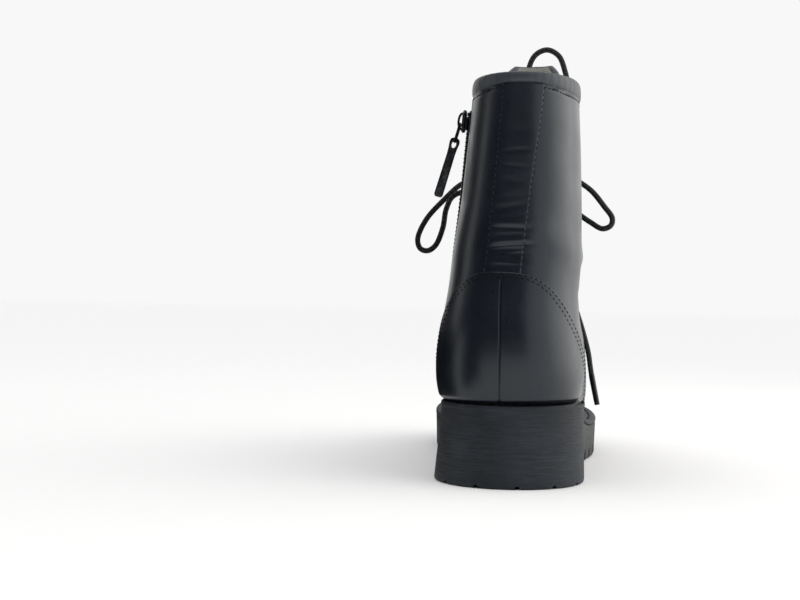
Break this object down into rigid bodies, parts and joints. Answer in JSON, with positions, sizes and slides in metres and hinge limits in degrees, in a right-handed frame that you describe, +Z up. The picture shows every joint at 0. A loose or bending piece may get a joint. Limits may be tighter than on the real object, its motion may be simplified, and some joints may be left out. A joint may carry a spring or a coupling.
{
  "type": "combat boot",
  "caption": "Right lace-up combat boot in smooth leather, with a block heel, lugged rubber sole and an inner side zip.",
  "frame": {"origin": "middle of the heel's tread, on the floor", "axes": "+Z up, +Y from heel to toe, +X to the outer (lateral) side of this right boot"},
  "size_m": [0.1151, 0.2916, 0.2412],
  "materials": {
    "upper_leather": "smooth black leather, semi-gloss, with soft creases",
    "sole_rubber": "matt black moulded rubber with fine side grooves",
    "insole_lining": "dark woven sock lining",
    "lace_cord": "round braided black cord",
    "zip_tape": "black woven tape with moulded teeth",
    "black_metal": "black enamelled metal, slightly worn"
  },
  "bodies": {
    "boot": {"outsole": "sole_rubber", "heel": "sole_rubber", "welt": "sole_rubber", "insole": "insole_lining", "upper": "upper_leather", "tongue": "upper_leather", "eyelet_lateral_1": "black_metal", "eyelet_medial_1": "black_metal", "eyelet_lateral_2": "black_metal", "eyelet_medial_2": "black_metal", "eyelet_lateral_3": "black_metal", "eyelet_medial_3": "black_metal", "eyelet_lateral_4": "black_metal", "eyelet_medial_4": "black_metal", "eyelet_lateral_5": "black_metal", "eyelet_medial_5": "black_metal", "eyelet_lateral_6": "black_metal", "eyelet_medial_6": "black_metal", "eyelet_lateral_7": "black_metal", "eyelet_medial_7": "black_metal", "eyelet_lateral_8": "black_metal", "eyelet_medial_8": "black_metal", "laces": "lace_cord", "lace_knot": "lace_cord", "lace_loop_lateral": "lace_cord", "lace_loop_medial": "lace_cord", "lace_end_lateral": "lace_cord", "lace_end_medial": "lace_cord", "lace_arch": "lace_cord", "lace_run": "lace_cord", "zip_tape": "zip_tape", "zip_slider": "black_metal"},
    "pull": {"zip_pull": "black_metal"}
  },
  "joints": [
    {"name": "zip_pull_swing", "type": "hinge", "parent": "boot", "child": "pull", "pos_m": [-0.02924, 0.02541, 0.18766], "axis": [0.006, 0.9975, 0.0706], "range_deg": [-6, 136]}
  ]
}
